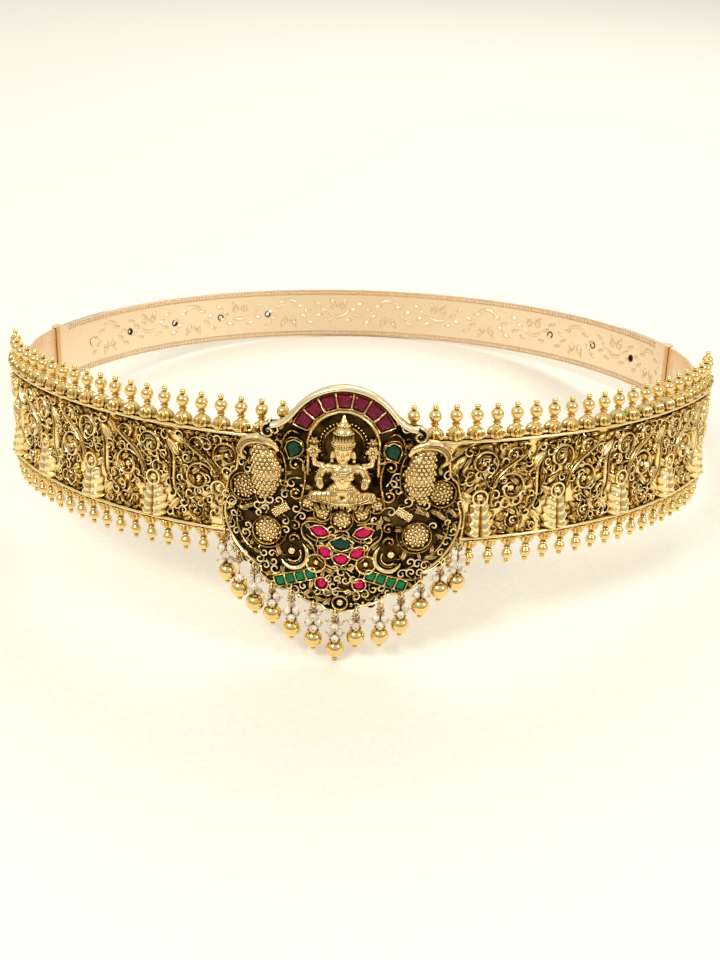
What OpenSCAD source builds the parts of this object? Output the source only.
// Oddiyanam waist belt. A stiff front band of cast scrollwork carries a bead finial at every
// step of its two edges. A plain strap in three lengths closes the ring behind. A pierced
// pendant with a seated goddess, peacocks, set stones and hanging drops covers the middle.
// Belt frame: +X right, -Y front, +Z up, z = 0 at the band's lower edge, Z axis through the
// centre of the front arc. posed() then lays the belt down as it rests by itself: on the
// strap's back edge and on the lowest drop, so the front stands a little higher.

/* [Front band] */
// Radius of the band's front face over its long front arc
front_r = 140; // [136:1:146]
// Half angle of the front arc
front_half = 57; // [55:1:59]
// Radius of the tighter arc at each side of the band
side_r = 50; // [48:1:54]
// Angle from straight ahead at which each side arc ends
band_end = 91; // [86:1:91]
// Height of the band over its two rails
band_h = 32.5; // [32:0.5:34]
// Thickness of the band's plate
band_t = 1.2; // [1:0.1:1.4]
// How far the rails stand out from the plate
rail_out = 1.6; // [1.2:0.1:1.7]
// Height of each rail
rail_h = 1.1; // [0.8:0.1:1.4]
// Distance between two leaves of the relief
repeat_w = 26.4; // [25:0.2:28]
// How far the scrolls stand out from the plate
scroll_out = 1.7; // [1.2:0.1:1.8]
// How far the leaves stand out from the plate
leaf_out = 3.0; // [2.2:0.1:3.4]

/* [Beading] */
// Distance between two finials
bead_pitch = 6.5; // [6.3:0.05:6.6]
// Radius of the shell at a top finial's foot
shell_r = 2.6; // [2.2:0.1:2.6]
// Radius of a top finial's ball
ball_r = 2.0; // [1.6:0.1:2.1]
// Radius of the small bead at a top finial's tip
tip_r = 0.95; // [0.7:0.05:1.1]
// Size of the lower finials against the upper ones
lower_scale = 0.88; // [0.8:0.01:0.92]

/* [Back strap] */
// Outer radius of the strap's round back, over its outer layer
strap_r = 131.6; // [131:0.1:133]
// How far in front of the front arc's centre the strap's round back is centred
strap_forward = 14.14; // [13.8:0.02:14.4]
// Thickness of one layer of strap
strap_t = 1.0; // [0.8:0.1:1.2]
// Height of the strap
strap_h = 23; // [22:0.5:25]
// Angle of each collar from the middle of the back
collar_angle = 77.5; // [74:0.5:80]
// Width of a collar along the strap
collar_w = 4; // [3:0.5:5]
// Radius of the adjusting holes
hole_r = 1.25; // [1:0.05:1.5]

/* [Pendant] */
// How far the pendant sits to the left of the belt's middle
pendant_shift = 4.2; // [0:0.1:5]
// Thickness of the pendant's plate
pendant_t = 1.4; // [1.2:0.1:1.6]
// Height of the arch's centre above the band's lower edge
arch_z = 32; // [31.5:0.1:32.5]
// Outer radius of the arch of stones
arch_out = 16.3; // [16:0.1:16.6]
// Inner radius of the arch of stones
arch_in = 11.2; // [11:0.1:11.5]
// How far a set stone stands out from the plate
stone_h = 1.5; // [1.2:0.1:1.8]

/* [Drops] */
// Radius of a drop's gold ball
drop_r = 2.9; // [2.5:0.1:3]
// Radius of a pearl
pearl_r = 1.2; // [1:0.05:1.3]
// Radius of the wire of pins and loops
wire_r = 0.25; // [0.22:0.01:0.28]
// Length of the longest drop, from its eyelet down to the middle of its ball
long_drop = 14.1; // [13:0.1:15]

/* [Hidden] */
$fn = 48;
deg = 180 / PI;
gap = 0.12;           // clearance between two fitted pieces
bezel_gap = 0.17;     // the same round a set stone, measured towards its corners
sink = 0.6;           // how deep relief is rooted in its plate
joint = 0.03;         // half angle of the joint between the band's halves, behind the pendant
antique = [0.72, 0.56, 0.27];
bright = [0.86, 0.68, 0.33];
rose = [0.9, 0.76, 0.58];

// Plan of the ring, right half
side_c = [(front_r - side_r) * sin(front_half), -(front_r - side_r) * cos(front_half)];
front_len = front_r * front_half / deg;
side_len = side_r * (band_end - front_half) / deg;
band_len = front_len + side_len;
finials = floor(band_len / bead_pitch);
strap_c = -strap_forward;
strap_z = (band_h - strap_h) / 2;
inner_r = strap_r - strap_t - gap;     // outer face of the strap's inner layer
layer_overlap = 16;                    // angle that the side lengths run on behind the back one
bend_r = 90;
bend_angle = collar_angle + 3;
bend_c = [(strap_r - bend_r) * sin(bend_angle), strap_c + (strap_r - bend_r) * cos(bend_angle)];
tab_r = side_r - band_t - 0.35;        // the strap's end, inside the band's
tab_angle = 20;
fold = side_c + [tab_r, 0] - bend_c;   // where the strap is folded outwards to clear the band's end
leg_len = sqrt(pow(norm(fold), 2) - pow(bend_r, 2));
leg_angle = atan2(fold[1], fold[0]) + acos(bend_r / norm(fold));
hole_angles = [-55.2, -43.4, -32.3, -21.4, 43.2, 54.6, 66.1];
stud_angle = -66.3;

// Pendant: radii of its plate's two faces, and of the line that the drops hang from
plate_back = front_r + rail_out + 0.5;
plate_face = plate_back + pendant_t;
hang_r = plate_face + 0.45;

// Drops, left to right: place along the pendant, height of the eyelet, length down to the
// middle of the ball, rows of pearls, and where these sit: 1 all round the pin, 0 in front of it
// in pairs, 2 in front singly
DROP_U = 0;
DROP_Z = 1;
DROP_LEN = 2;
DROP_ROWS = 3;
DROP_ROUND = 4;
DROPS = [[-36, 1.6, 15.1, 3, 0], [-31.8, -5.1, 13.4, 1, 2], [-26.8, -8.4, 14.4, 3, 0],
    [-21.1, -14.8, 10.6, 2, 1], [-15, -16.4, 13.7, 2, 1], [-8.1, -19.8, 13.4, 3, 1],
    [-1.3, -22.2, long_drop, 3, 1], [5.1, -21.3, 10.2, 1, 1], [12.6, -18.8, 12.4, 2, 1],
    [18.8, -15.6, 11.9, 2, 1], [24.9, -12.2, 8.8, 1, 0], [30.6, -6.4, 9.2, 1, 0], [36, 1.6, 15.4, 3, 0]];
LOWEST = DROPS[6];
bead_tip_r = 0.85;
loop_r = 0.9;
eye_r = 1.1;
eye_wire = 0.3;
loop_drop = 1.25;     // from an eyelet's centre down to the centre of the loop in it
pearl_step = 2.2;
pearl_off = pearl_r + wire_r + 0.15;

// Rest pose: the angle at which the strap's back edge and the tip of the lowest drop both
// touch the surface
function hang_angle(d) = (d[DROP_U] - pendant_shift) / plate_face * deg;
function pin_length(d) = d[DROP_LEN] + drop_r + 2 * bead_tip_r;
back_y = strap_c + inner_r;
rest_span = [hang_r * cos(hang_angle(LOWEST)) + back_y, LOWEST[DROP_Z] - strap_z];
rest_tilt = asin(pin_length(LOWEST) / norm(rest_span)) - atan2(rest_span[1], rest_span[0]);
lift = back_y * sin(rest_tilt) - strap_z * cos(rest_tilt);
centre_shift = 14.834;  // brings the middle of the belt's box onto y = 0

// Lays the belt down as it rests
module posed() {
    translate([0, centre_shift, lift]) rotate([-rest_tilt, 0, 0]) children();
}

// Puts children at an arc length along the band's face. There x runs along the band, y up
// and z out of the face, and the left half is a mirror image.
module on_band(s, z) {
    a = abs(s);
    mirror([s < 0 ? 1 : 0, 0, 0])
        if (a <= front_len)
            rotate([0, 0, a / front_r * deg]) translate([0, -front_r, z]) rotate([90, 0, 0]) children();
        else
            translate([side_c[0], side_c[1], 0])
                rotate([0, 0, front_half + (a - front_len) / side_r * deg])
                    translate([0, -side_r, z]) rotate([90, 0, 0]) children();
}

// Puts children on a cylinder through the pendant, u along it from the pendant's middle
module on_pendant(u, z, r = plate_face) {
    rotate([0, 0, (u - pendant_shift) / plate_face * deg])
        translate([0, -r, z]) rotate([90, 0, 0]) children();
}

// A profile given as radius and height, swept round both arcs of the right half of the band
module band_sweep(steps) {
    rotate([0, 0, joint - 90]) rotate_extrude(angle = front_half - joint, $fn = steps)
        translate([front_r, 0]) children();
    translate([side_c[0], side_c[1], 0]) rotate([0, 0, front_half - 90])
        rotate_extrude(angle = band_end - front_half, $fn = round(steps / 2.4))
            translate([side_r, 0]) children();
}

// Curves, as lists of points in the plane of the relief
function arc_points(r, from, to, steps) =
    [for (i = [0:steps]) let (a = from + (to - from) * i / steps) r * [cos(a), sin(a)]];
function spiral_points(r, r_end, from, turn, steps) =
    [for (i = [0:steps]) let (t = i / steps, a = from + turn * t)
        (r + (r_end - r) * t) * [cos(a), sin(a)]];
function bezier_points(a, b, c, d, steps) =
    [for (i = [0:steps]) let (t = i / steps, s = 1 - t)
        s * s * s * a + 3 * s * s * t * b + 3 * s * t * t * c + t * t * t * d];
function direction(p, i) = let (n = len(p) - 1, d = p[min(i + 1, n)] - p[max(i - 1, 0)]) d / norm(d);

// A roof-shaped ridge along a curve, thinning towards its ends by taper
module ridge(points, w, h, taper = 0.45) {
    n = len(points);
    function size(i) = 1 - (1 - taper) * pow(abs(2 * i / (n - 1) - 1), 3);
    function at(p, q, k, z) = [p[0] + q[0] * k, p[1] + q[1] * k, z];
    rings = [for (i = [0:n - 1])
        let (d = direction(points, i), q = w / 2 * size(i) * [-d[1], d[0]], p = points[i], top = h * size(i))
            each [at(p, q, 1, -sink), at(p, q, -1, -sink), at(p, q, -0.45, top), at(p, q, 0.45, top)]];
    sides = [for (i = [0:n - 2], k = [0:3])
        [i * 4 + k, i * 4 + (k + 1) % 4, (i + 1) * 4 + (k + 1) % 4, (i + 1) * 4 + k]];
    polyhedron(rings, concat([[3, 2, 1, 0]], sides, [[for (k = [0:3]) (n - 1) * 4 + k]]), convexity = 6);
}

// A low dome of a given radius and height on a short wall
module dome(r, h) {
    rotate_extrude() intersection() {
        translate([0, -sink]) square([r, sink + h]);
        union() {
            translate([0, -sink]) square([r, sink + h * 0.3]);
            translate([0, h - (r * r + h * h) / (2 * h)]) circle((r * r + h * h) / (2 * h));
        }
    }
}

// The same with flat sides, for the crowded pendant
module button(r, h, sides = 10) {
    translate([0, 0, -sink]) cylinder(r1 = r, r2 = r * 0.92, h = sink + h * 0.55, $fn = sides);
    translate([0, 0, h * 0.5]) cylinder(r1 = r * 0.8, r2 = r * 0.35, h = h * 0.5, $fn = sides);
}

// A round rim with a domed middle
module medallion(r, h) {
    rotate_extrude()
        polygon([[0, -sink], [r, -sink], [r * 0.94, h], [r * 0.72, h], [r * 0.62, h * 0.3], [0, h * 0.3]]);
    dome(r * 0.5, h * 0.9);
}

// A broad toothed leaf folded up along its midrib, hanging tip down
LEAF = [[-0.5, 0.06, 0.5], [-0.38, 0.36, 0.8], [-0.3, 0.3, 0.9], [-0.16, 0.5, 1], [-0.06, 0.38, 1],
    [0.08, 0.48, 0.95], [0.18, 0.3, 0.85], [0.3, 0.34, 0.75], [0.5, 0.08, 0.5]];
module leaf(l, w, h) {
    n = len(LEAF);
    rings = [for (p = LEAF) each [[w * p[1], l * p[0], -sink], [w * p[1], l * p[0], h * p[2] * 0.3],
        [0, l * p[0], h * p[2]], [-w * p[1], l * p[0], h * p[2] * 0.3], [-w * p[1], l * p[0], -sink]]];
    sides = [for (i = [0:n - 2], k = [0:4]) each [[i * 5 + k, i * 5 + (k + 1) % 5, (i + 1) * 5 + (k + 1) % 5],
        [i * 5 + k, (i + 1) * 5 + (k + 1) % 5, (i + 1) * 5 + k]]];
    polyhedron(rings, concat([[4, 3, 2, 1, 0]], sides, [[for (k = [0:4]) (n - 1) * 5 + k]]), convexity = 6);
}

// A smooth pointed petal along x
PETAL_EDGE = [[-0.5, 0], [-0.2, -0.5], [0.25, -0.5], [0.5, 0], [0.25, 0.5], [-0.2, 0.5]];
module petal(l, w, h) {
    n = len(PETAL_EDGE);
    rings = concat([for (p = PETAL_EDGE) [l * p[0], w * p[1], -sink]],
        [for (p = PETAL_EDGE) [l * p[0] * 0.5, w * p[1] * 0.35, h]]);
    sides = [for (i = [0:n - 1]) each [[i, n + (i + 1) % n, (i + 1) % n], [i, n + i, n + (i + 1) % n]]];
    polyhedron(rings, concat([[for (i = [0:n - 1]) i]], sides, [[for (i = [n - 1:-1:0]) n + i]]));
}

// Puts relief on the right half of the band, up to its end
module relief_at(s, z) {
    if (s < band_len - 3) on_band(s, z) children();
}

// One repeat of the band's scrollwork, measured from its leaf. The first one has no leaf or
// medallion where the pendant covers them.
module scroll_repeat(s, open) {
    if (open) {
        relief_at(s, 5.9) leaf(11.4, 8.6, leaf_out);
        relief_at(s - 0.6, 13.9) medallion(2.8, scroll_out);
    }
    relief_at(s + 0.3, 24.6) ridge(spiral_points(5, 1.3, -70, 470, 12), 1.3, scroll_out);
    relief_at(s + 9.7, 16.2) ridge(spiral_points(5.6, 1.4, 200, -500, 13), 1.4, scroll_out);
    relief_at(s + 9.9, 26.8) ridge(spiral_points(3.2, 1, -60, 400, 8), 1.1, scroll_out);
    relief_at(s + 11, 5.4) ridge(spiral_points(3.2, 1, 100, 400, 8), 1.1, scroll_out);
    relief_at(s + 9, 18) ridge(bezier_points([-5.6, -8.4], [-8, 6], [3, 5], [7, 11], 7), 1.1, scroll_out);
    relief_at(s + 18, 17)
        ridge(bezier_points([-2.6, -9.5], [4.4, -3], [-4, 3], [3.4, 11], 7), 1.2, scroll_out);
    relief_at(s + 18.8, 25) rotate(50) petal(7.4, 3.4, scroll_out);
    relief_at(s + 22.4, 13.6) rotate(-35) petal(6.4, 3, scroll_out);
    relief_at(s + 20.2, 5.6) rotate(-50) petal(6.4, 3, scroll_out);
    relief_at(s + 5.4, 5.6) rotate(55) petal(6, 2.4, scroll_out);
    relief_at(s + 11, 15.2) rotate(30) petal(4.6, 2.2, scroll_out * 0.8);
    relief_at(s + 1, 24.4) rotate(-40) petal(4.2, 2, scroll_out * 0.8);
    relief_at(s + 15, 30.2) petal(4.6, 1.8, scroll_out * 0.8);
}

// Half of the front band: plate, two rails and the relief between them
module band_half(side, first_leaf, covered) {
    color(antique) posed() mirror([side < 0 ? 1 : 0, 0, 0]) union() {
        band_sweep(150) polygon([[-band_t, 0], [rail_out, 0], [rail_out, rail_h], [0, rail_h],
            [0, band_h - rail_h], [rail_out, band_h - rail_h], [rail_out, band_h], [-band_t, band_h]]);
        for (s = [first_leaf:repeat_w:band_len]) scroll_repeat(s, !covered || s > first_leaf);
        // Feathers that sweep down towards the pendant
        feather_s = first_leaf + (covered ? 4.4 : -2.6);
        if (covered) relief_at(feather_s - 1.4, 13.9) medallion(2.8, scroll_out);
        for (i = [0:2]) relief_at(feather_s - i * 1.7, 6.4)
            ridge(bezier_points([0.8, 4.6 - i], [0.4, 1], [-1.4, -2], [-3.2, -4], 4), 1, scroll_out);
    }
}
module band_left() { band_half(-1, 39.6, true); }
module band_right() { band_half(1, 38.2, false); }

// One finial: shell, neck, ball and tip bead, standing on y = 0
module finial() {
    rotate_extrude() intersection() {
        square([4, 12]);
        union() {
            translate([0, 0.9]) circle(shell_r);
            square([0.9, 6]);
            translate([0, 6.8]) circle(ball_r);
            square([0.5, 9.4]);
            translate([0, 9.5]) circle(tip_r);
        }
    }
}

// Half a row of finials on its strip. Those that the arch would hide are left out.
module beading_half(side, up) {
    size = up > 0 ? 1 : lower_scale;
    foot = up > 0 ? band_h + gap : -gap;
    line_r = -band_t / 2;
    color(bright) posed() union() {
        mirror([side < 0 ? 1 : 0, 0, 0]) translate([0, 0, foot]) mirror([0, 0, up < 0 ? 1 : 0])
            band_sweep(150) translate([-band_t, 0]) square([band_t + 0.8, 1]);
        for (k = [0:finials - 1]) {
            s = side * (k + 0.5) * bead_pitch;
            if (up < 0 || abs(s + pendant_shift) > 17)
                on_band(s, foot + up * 0.3) translate([0, 0, line_r]) rotate([-90, 0, 0])
                    mirror([0, 0, up < 0 ? 1 : 0]) scale(size) finial();
        }
    }
}
module top_beading_left() { beading_half(-1, 1); }
module top_beading_right() { beading_half(1, 1); }
module bottom_beading_left() { beading_half(-1, -1); }
module bottom_beading_right() { beading_half(1, -1); }

// A stretch of strap round the ring's back, by its outer radius and its two angles from the
// middle of the back
module strap_arc(r, from, to, t = strap_t, z = strap_z, h = strap_h) {
    translate([0, strap_c, 0]) rotate([0, 0, 90 - to]) rotate_extrude(angle = to - from)
        translate([r - t, z]) square([t, h]);
}

// The back length of the strap, with its holes and a collar at each end
module strap_back() {
    wall = 0.8;
    half = collar_w / 2 / strap_r * deg;
    color(rose) posed() difference() {
        union() {
            strap_arc(inner_r, -collar_angle - half, collar_angle + half);
            for (a = [-collar_angle, collar_angle]) difference() {
                strap_arc(strap_r + gap + wall, a - half, a + half,
                    2 * strap_t + 2 * gap + 2 * wall, strap_z - gap - wall, strap_h + 2 * gap + 2 * wall);
                strap_arc(strap_r + gap, a - 2 * half, a + 2 * half,
                    strap_t + 2 * gap, strap_z - gap, strap_h + 2 * gap);
            }
        }
        for (a = concat(hole_angles, [stud_angle])) translate([0, strap_c, strap_z + strap_h / 2])
            rotate([0, 0, -a]) rotate([-90, 0, 0]) cylinder(r = hole_r, h = strap_r + 5);
    }
}

// A bend in the strap. It is a hair thinner and runs on a little into the lengths on either
// side, so that the union has no faces that only just meet.
bend_step = 0.02;
bend_run_on = 0.4;
module strap_bend(r, angle) {
    rotate([0, 0, -bend_run_on]) rotate_extrude(angle = angle + 2 * bend_run_on)
        translate([r - strap_t + bend_step, strap_z + bend_step])
            square([strap_t - 2 * bend_step, strap_h - 2 * bend_step]);
}

// A side length: round behind the back length, bent past the collar, straight to the band's
// end and on along the inside of it
module strap_side(side, stud) {
    color(rose) posed() mirror([side < 0 ? 1 : 0, 0, 0]) union() {
        strap_arc(strap_r, collar_angle - layer_overlap, bend_angle);
        translate([bend_c[0], bend_c[1], 0]) rotate([0, 0, leg_angle]) {
            strap_bend(bend_r, 90 - bend_angle - leg_angle);
            translate([bend_r - strap_t, -leg_len - 0.3, strap_z]) cube([strap_t, leg_len + 0.3, strap_h]);
        }
        translate([side_c[0], side_c[1], 0]) rotate([0, 0, -tab_angle]) strap_bend(tab_r, tab_angle);
        if (stud) translate([0, strap_c, strap_z + strap_h / 2]) rotate([0, 0, stud_angle])
            rotate([-90, 0, 0]) {
                translate([0, 0, inner_r - strap_t - 0.7]) cylinder(r1 = 1.6, r2 = 1.9, h = 0.6);
                translate([0, 0, inner_r - strap_t - 0.4]) cylinder(r = hole_r - gap, h = strap_t + 0.8);
            }
    }
}
module strap_left() { strap_side(-1, true); }
module strap_right() { strap_side(1, false); }

// Outline of the pendant's plate, right half, and the gaps pierced through it on both sides
PLATE_HALF = [[0, 50], [5, 49.2], [9, 47.3], [12.6, 44.5], [16, 41], [19.4, 38.2], [23.2, 37.8], [24.2, 34.4],
    [28.2, 32.8], [31.4, 30.4], [32.2, 26], [32.6, 22.6], [34.8, 20], [36, 15.6], [37.4, 10.6], [37.2, 5.4],
    [36.6, 1.6], [34.6, 1.2], [33.6, -2.8], [31.6, -4.9], [28.4, -7.6], [25, -9.3], [25.4, -11.2],
    [23.2, -13.3], [19.4, -15.7], [14.4, -16.4], [12.4, -18.4], [9.5, -19.8], [6.2, -20.4], [4.4, -22],
    [0, -22.5]];
GAPS = [[18.3, 0.4, 1.3], [13.4, -7.6, 1.2], [17.2, -7, 1], [8.3, 23.6, 1], [15.4, 25.8, 0.9],
    [27.8, 9.8, 1.2], [31, 5.6, 1], [11.2, 3.4, 1]];
module plate_outline() {
    for (side = [0, 1]) mirror([side, 0, 0]) polygon(PLATE_HALF);
}

// A raised wall round a stone
function grown(points, d) = [for (p = points) p * (1 + d / norm(p))];
module bezel(points, h = 1) {
    translate([0, 0, -sink]) linear_extrude(sink + h) difference() {
        polygon(grown(points, bezel_gap + 0.6));
        polygon(grown(points, bezel_gap));
    }
}

// Outlines of the set stones, each about its own middle
function round_points(w, n) = [for (i = [0:n - 1]) w / 2 * [cos(360 * i / n), sin(360 * i / n)]];
function drop_points(w, h) = concat([[0, h * 0.62]],
    [for (a = [30:-48:-210]) [w / 2 * cos(a), h * 0.42 * sin(a) - h * 0.04]]);
function marquise_points(w, h) = [for (i = [-2:2]) [w / 4 * i, h / 2 * (1 - i * i / 4)],
    for (i = [1:-1:-1]) [w / 4 * i, -h / 2 * (1 - i * i / 4)]];
function block_points(w_top, w_foot, h, cut) = [[-w_foot / 2 + cut, -h / 2], [w_foot / 2 - cut, -h / 2],
    [w_foot / 2, -h / 2 + cut], [w_top / 2, h / 2 - cut], [w_top / 2 - cut, h / 2], [-w_top / 2 + cut, h / 2],
    [-w_top / 2, h / 2 - cut], [-w_foot / 2, -h / 2 + cut]];
function fan_points(w, h) = [[-w / 2, h * 0.1], [-w * 0.28, -h * 0.34], [0, -h / 2], [w * 0.28, -h * 0.34],
    [w / 2, h * 0.1], [w * 0.3, h * 0.34], [0, h / 2], [-w * 0.3, h * 0.34]];
RUBY = block_points(4.6, 3.4, 4, 0.35);
TEARDROP = drop_points(4.3, 4.8);
MARQUISE = marquise_points(5.4, 2.9);
LOZENGE = fan_points(6.4, 3.6);
PETAL = fan_points(4.4, 3);
BAR = block_points(2.5, 2.5, 2.7, 0.3);
cabochon_r = 1.45;
cabochon_round = 1.7;   // radius of the cabochon's dome

// A flat stone with a table and one crown facet for each side of its outline
module cut_stone(points, h = stone_h) {
    n = len(points);
    rings = concat([for (p = points) [p[0], p[1], 0]], [for (p = points) [p[0], p[1], h * 0.6]],
        [for (p = points) [p[0] * 0.72, p[1] * 0.72, h]]);
    sides = [for (k = [0:1], i = [0:n - 1])
        [k * n + i, k * n + (i + 1) % n, (k + 1) * n + (i + 1) % n, (k + 1) * n + i]];
    turn = points[0][0] * points[1][1] - points[0][1] * points[1][0] > 0;
    faces = concat([[for (i = [n - 1:-1:0]) i]], sides, [[for (i = [0:n - 1]) 2 * n + i]]);
    polyhedron(rings, turn ? [for (f = faces) [for (i = [len(f) - 1:-1:0]) f[i]]] : faces);
}

// Where the stones sit: place along the pendant, height, turn in the face's plane
RUBY_STEP = 19.6;
function ruby_place(i) = let (a = (i - 4) * RUBY_STEP, r = (arch_in + arch_out) / 2 - 0.15)
    [r * sin(a), arch_z + r * cos(a), -a];
TEARDROP_PLACE = [14.6, 30.2, 204];
MARQUISE_PLACE = [6.6, 4.5, 16];
LOZENGE_PLACE = [0, 0.7, 0];
PETAL_PLACE = [[-4.9, -2.2, -38], [0, -4.4, 0], [4.9, -2.2, 38]];
function bar_place(i) = [9.2 + 3.05 * (i - 1), -9.7 - 0.97 * (i - 1), -17];
CABOCHON_PLACE = [5.7, -12.7, 0];

module set_at(place, side = 1) {
    on_pendant(side * place[0], place[1]) mirror([side < 0 ? 1 : 0, 0, 0]) rotate(place[2]) children();
}
module stone_at(place, side, tone, points) {
    color(tone) posed() set_at(place, side) translate([0, 0, gap]) cut_stone(points);
}
ruby_tone = [0.5, 0.03, 0.14];
green_tone = [0.02, 0.3, 0.14];
pink_tone = [0.8, 0.08, 0.3];
module ruby(i) { stone_at(ruby_place(i), 1, ruby_tone, RUBY); }
module bar(side, i) { stone_at(bar_place(i), side, green_tone, BAR); }
module cabochon(side) {
    color(pink_tone) posed() set_at(CABOCHON_PLACE, side) intersection() {
        translate([0, 0, gap]) cylinder(r = cabochon_r, h = stone_h);
        translate([0, 0, stone_h - cabochon_round]) sphere(cabochon_round);
    }
}

// The pendant's pierced plate with its settings, scrolls, tail feathers and granulated discs
module pendant_plate() {
    color(antique) posed() union() {
        intersection() {
            difference() {
                cylinder(r = plate_face, h = 200, center = true, $fn = 180);
                cylinder(r = plate_back, h = 210, center = true, $fn = 180);
            }
            rotate([0, 0, -pendant_shift / plate_face * deg]) rotate([90, 0, 0]) linear_extrude(200)
                difference() {
                    plate_outline();
                    for (side = [-1, 1], g = GAPS) translate([side * g[0], g[1]]) circle(g[2], $fn = 8);
                }
        }
        stone_settings();
        for (side = [-1, 1]) plate_relief(side);
        on_pendant(0, 8.2) button(3.5, 1.9, 12);
        on_pendant(0, -19) ridge(arc_points(2.4, 0, 360, 10), 1.1, 1.5, 1);
        for (d = DROPS) on_pendant(d[DROP_U], d[DROP_Z], hang_r) rotate([0, 90, 0])
            rotate_extrude($fn = 6) translate([eye_r, 0]) circle(eye_wire, $fn = 4);
    }
}
module stone_settings() {
    for (i = [1:7]) set_at(ruby_place(i)) bezel(RUBY, 1.1);
    for (side = [-1, 1]) {
        set_at(TEARDROP_PLACE, side) bezel(TEARDROP);
        set_at(MARQUISE_PLACE, side) bezel(MARQUISE);
        for (i = [1:4]) set_at(bar_place(i), side) bezel(BAR);
        set_at(CABOCHON_PLACE, side) bezel(round_points(2 * cabochon_r + 0.2, 8));
    }
    set_at(LOZENGE_PLACE) bezel(LOZENGE);
    for (p = PETAL_PLACE) set_at(p) bezel(PETAL);
}
module plate_relief(side) {
    mirrored = side < 0 ? 1 : 0;
    at = [[5.9, 10.3, 2.8], [10.2, 13.2, 2.6], [22.7, 3.6, 4.1]];
    for (a = at) on_pendant(side * a[0], a[1]) button(a[2], a[2] * 0.5);
    // Rim that frames the tail feathers, and the sweeps inside it
    on_pendant(side * 22.7, 3.6) mirror([mirrored, 0, 0]) {
        ridge(bezier_points([11.2, 11], [16.4, 4], [10, -8], [1.4, -12.4], 9), 1.3, 1.8);
        ridge(bezier_points([7.4, 9], [12, 3], [8, -5], [2, -8.4], 7), 0.9, 1.5);
        ridge(spiral_points(6.4, 5.4, 150, 200, 8), 0.9, 1.4);
    }
    // Short tail feathers under the bird's disc
    for (f = [[28.6, 10.7, -20], [33.6, 10.4, -50], [23.6, 11.2, -36], [34.4, 5.6, -70]])
        on_pendant(side * f[0], f[1]) mirror([mirrored, 0, 0]) rotate(f[2]) petal(4.4, 1.9, 1.3);
    // Toothed crescent, volutes beside the stones, and the curl under each bar of stones
    on_pendant(side * 14.4, -3.6) mirror([mirrored, 0, 0]) ridge(arc_points(4.4, 130, 330, 8), 1.8, 2.2, 0.3);
    on_pendant(side * 7.5, -5.9) mirror([mirrored, 0, 0]) ridge(spiral_points(3, 0.8, 200, -480, 10), 1, 1.8);
    on_pendant(side * 8.2, -17) mirror([mirrored, 0, 0])
        ridge(spiral_points(2.4, 0.7, 60, -430, 8), 0.8, 1.4);
    on_pendant(side * 16, -8.2) mirror([mirrored, 0, 0])
        ridge(bezier_points([-8.6, 0.6], [-2, 0], [4, -2], [8.4, -1.2], 5), 0.9, 1.6);
    // Pillar with a volute at each end, beside the figure
    on_pendant(side * 13.4, 21) mirror([mirrored, 0, 0]) {
        ridge(bezier_points([-1.2, 5], [-3, 1], [-2.4, -3], [-0.8, -6], 5), 1.4, 1.6);
        translate([0.6, 4.4]) ridge(spiral_points(2.1, 0.6, 170, -400, 8), 0.9, 1.6);
        translate([0.4, -4.6]) ridge(spiral_points(1.9, 0.6, 190, 400, 8), 0.9, 1.6);
    }
}

// The polished ogee rim over the arch of stones, ending in a volute at each side
module canopy() {
    color(bright) posed() union() {
        for (side = [-1, 1]) {
            points = concat(
                [for (a = [0:10:50]) (arch_out + 1.05) * [sin(a), cos(a)] + [0, arch_z]],
                bezier_points([15, 41], [16.7, 39], [18.8, 37.2], [21.4, 37], 3));
            for (i = [0:len(points) - 2]) hull() for (p = [points[i], points[i + 1]])
                on_pendant(side * p[0], p[1], plate_face + gap)
                    cylinder(r1 = 0.85, r2 = 0.7, h = 2.6, $fn = 6);
            on_pendant(side * 22.2, 36.1, plate_face + gap) rotate_extrude($fn = 12)
                polygon([[0, 0], [1.8, 0], [1.8, 1.4], [1.3, 2.2], [0.9, 1.2], [0.5, 2.4], [0, 2.6]]);
        }
    }
}

// A ball of few faces, as a joint of the figures
module bead_at(p, r, sides = 8) { translate(p) sphere(r, $fn = sides); }
module limb(a, b, ra, rb, sides = 6) {
    hull() {
        bead_at(a, ra, sides);
        bead_at(b, rb, sides);
    }
}

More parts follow.
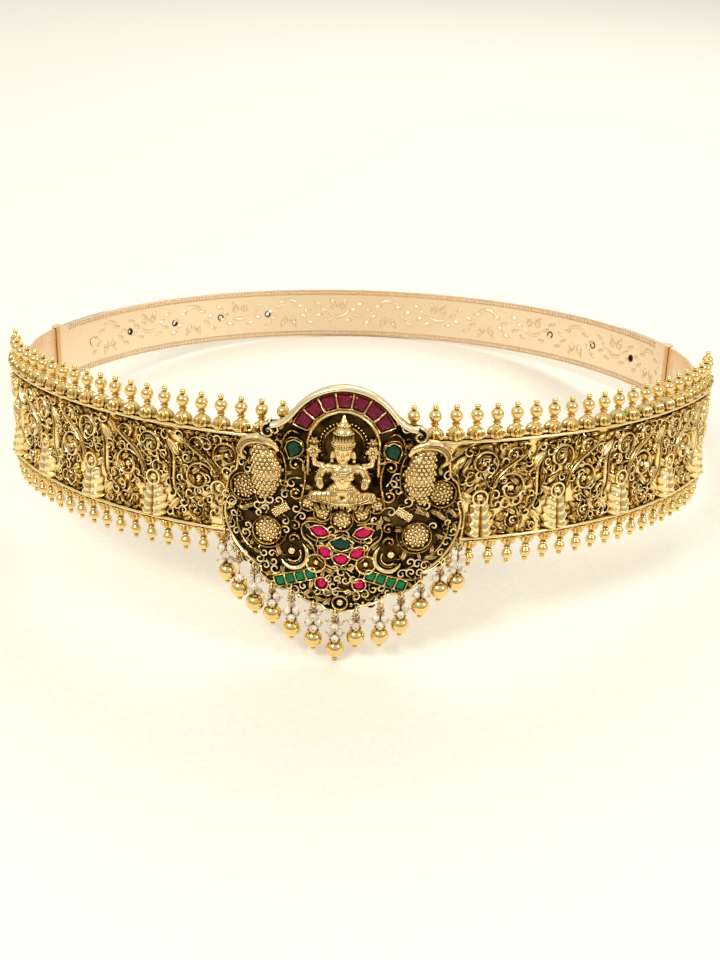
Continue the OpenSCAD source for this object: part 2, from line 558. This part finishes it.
// The seated goddess: crown, head, four arms, torso, crossed legs, halo and two flowers.
// Places are along x, up y and out of the plate z, from the middle of the pendant at z = 0.
module goddess() {
    color(antique) posed() on_pendant(0, 0, plate_face + 0.1) intersection() {
        union() {
            limb([0, 29.6, 2.9], [0, 28.4, 3.2], 2.5, 2, 8);
            limb([0, 33.2, 2.3], [0, 36.4, 2], 2.9, 2.1, 8);
            limb([0, 36.4, 2], [0, 40.4, 1.4], 2.1, 0.8, 8);
            limb([0, 27, 1.8], [0, 25, 1.6], 1.5, 1.6);
            hull() {
                for (side = [-1, 1]) bead_at([side * 4, 24.4, 1.4], 1.6);
                bead_at([0, 18.6, 1.8], 2.2);
            }
            for (side = [-1, 1]) {
                bead_at([side * 1.9, 22.4, 3], 1.3, 6);
                // Lower arm, bent to an open hand, and upper arm, raised to a flower
                limb([side * 4.6, 24.2, 1.4], [side * 6.8, 20.8, 1.6], 1.2, 1);
                limb([side * 6.8, 20.8, 1.6], [side * 5.8, 19, 3.6], 1, 1);
                limb([side * 4.6, 24.8, 1], [side * 8.2, 26, 1], 1, 0.9);
                limb([side * 8.2, 26, 1], [side * 8.4, 30, 1.4], 0.9, 0.8);
                bead_at([side * 8.4, 31.6, 1.2], 1.7);
                // Folded leg, knee outwards
                limb([side * 1.6, 16.8, 1.8], [side * 7.8, 15.8, 1.8], 2, 1.7);
                limb([side * 7.8, 15.8, 1.8], [-side * 2, 14.4, 3], 1.6, 1.1);
            }
            translate([0, 31.6, 0]) ridge(arc_points(6, 10, 170, 9), 0.8, 1.2, 1);
        }
        translate([-20, 0, 0]) cube([40, 60, 12]);
    }
}

// A peacock: swelling scaled body, polished crest curling over it, and a granulated disc
module peacock(side) {
    color(antique) posed() on_pendant(side * 24, 0, plate_face + 0.1) mirror([side < 0 ? 1 : 0, 0, 0])
        intersection() {
            union() {
                hull() {
                    bead_at([-2.4, 26.6, 0.4], 2.8);
                    bead_at([-1.6, 21.4, 0.6], 4.6);
                    bead_at([-1.4, 17, 0.4], 3.2);
                }
                limb([-0.6, 28.4, 0.6], [2.4, 31.4, 0.8], 2.2, 2);
                limb([2.4, 31.4, 0.8], [6, 29.8, 0.6], 2, 1.5);
                limb([6, 29.8, 0.6], [7.2, 26.4, 0.4], 1.5, 0.7);
                translate([-2.6, 32.2, 0]) ridge(spiral_points(2.2, 0.7, 300, -420, 8), 1, 1.8);
                limb([1.4, 24.6, 0.4], [4.4, 19.6, 0.4], 1.8, 1.4);
                translate([5.6, 17, 0]) cylinder(r1 = 4.1, r2 = 3.6, h = 1.2, $fn = 12);
                translate([5.6, 17, 1]) cylinder(r1 = 3.3, r2 = 1.6, h = 1.2, $fn = 12);
            }
            translate([-10, 0, 0]) cube([30, 50, 12]);
        }
}

// Drops hang plumb from the eyelets: there z is plumb up and the origin is the eyelet
module hung(d) {
    a = hang_angle(d);
    translate([hang_r * sin(a), -hang_r * cos(a), d[DROP_Z]]) rotate([rest_tilt, 0, 0]) children();
}

// A gold ball with a granule collar on top, bored for its pin
module gold_drop(i) {
    d = DROPS[i - 1];
    color(bright) posed() hung(d) translate([0, 0, -d[DROP_LEN]]) difference() {
        union() {
            sphere(drop_r);
            translate([0, 0, drop_r * 0.9]) cylinder(r = 1.3, h = 0.8);
        }
        cylinder(r = wire_r + 0.1, h = 3 * drop_r, center = true);
    }
}

// Pearls of one drop: height below the eyelet and direction round the pin
function ring_of(d, row) = d[DROP_ROUND] == 1 ? [-90, 30, 150] + [1, 1, 1] * (row % 2) * 60
    : d[DROP_ROUND] == 2 || row % 2 > 0 ? [-90] : [-148, -32];
function pearl_list(d) = [for (row = [0:d[DROP_ROWS] - 1]) for (a = ring_of(d, row))
    [drop_r + 2 + row * pearl_step - d[DROP_LEN], a]];
module drop_pins() {
    color(bright) posed() for (d = DROPS) hung(d) union() {
        translate([0, 0, -loop_drop]) rotate([90, 0, 0])
            rotate_extrude() translate([loop_r, 0]) circle(wire_r);
        translate([0, 0, bead_tip_r - pin_length(d)]) {
            cylinder(r = wire_r, h = pin_length(d) - bead_tip_r - loop_drop - loop_r);
            sphere(bead_tip_r);
        }
        for (p = pearl_list(d)) translate([0, 0, p[0]]) rotate([0, 0, p[1]]) rotate([0, 90, 0]) {
            cylinder(r = 0.18, h = pearl_off + pearl_r + 0.2);
            translate([0, 0, pearl_off + pearl_r + 0.4]) sphere(0.35);
        }
    }
}
module pearls() {
    color([0.93, 0.9, 0.84]) posed() for (d = DROPS) hung(d) for (p = pearl_list(d))
        translate([0, 0, p[0]]) rotate([0, 0, p[1]]) rotate([0, 90, 0]) difference() {
            translate([0, 0, pearl_off]) sphere(pearl_r);
            cylinder(r = 0.28, h = 4 * pearl_r);
        }
}

band_left();
band_right();
top_beading_left();
top_beading_right();
bottom_beading_left();
bottom_beading_right();
strap_back();
strap_left();
strap_right();
pendant_plate();
canopy();
goddess();
peacock(-1);  // peacock_left
peacock(1);  // peacock_right
ruby(1);  // ruby_1
ruby(2);  // ruby_2
ruby(3);  // ruby_3
ruby(4);  // ruby_4
ruby(5);  // ruby_5
ruby(6);  // ruby_6
ruby(7);  // ruby_7
stone_at(TEARDROP_PLACE, -1, green_tone, TEARDROP);  // teardrop_left
stone_at(TEARDROP_PLACE, 1, green_tone, TEARDROP);  // teardrop_right
stone_at(MARQUISE_PLACE, -1, pink_tone, MARQUISE);  // marquise_left
stone_at(MARQUISE_PLACE, 1, pink_tone, MARQUISE);  // marquise_right
stone_at(LOZENGE_PLACE, 1, green_tone, LOZENGE);  // lozenge
stone_at(PETAL_PLACE[0], 1, pink_tone, PETAL);  // petal_left
stone_at(PETAL_PLACE[1], 1, pink_tone, PETAL);  // petal_middle
stone_at(PETAL_PLACE[2], 1, pink_tone, PETAL);  // petal_right
bar(-1, 1);  // bar_left_1
bar(-1, 2);  // bar_left_2
bar(-1, 3);  // bar_left_3
bar(-1, 4);  // bar_left_4
bar(1, 1);  // bar_right_1
bar(1, 2);  // bar_right_2
bar(1, 3);  // bar_right_3
bar(1, 4);  // bar_right_4
cabochon(-1);  // cabochon_left
cabochon(1);  // cabochon_right
gold_drop(1);  // drop_1
gold_drop(2);  // drop_2
gold_drop(3);  // drop_3
gold_drop(4);  // drop_4
gold_drop(5);  // drop_5
gold_drop(6);  // drop_6
gold_drop(7);  // drop_7
gold_drop(8);  // drop_8
gold_drop(9);  // drop_9
gold_drop(10);  // drop_10
gold_drop(11);  // drop_11
gold_drop(12);  // drop_12
gold_drop(13);  // drop_13
drop_pins();
pearls();
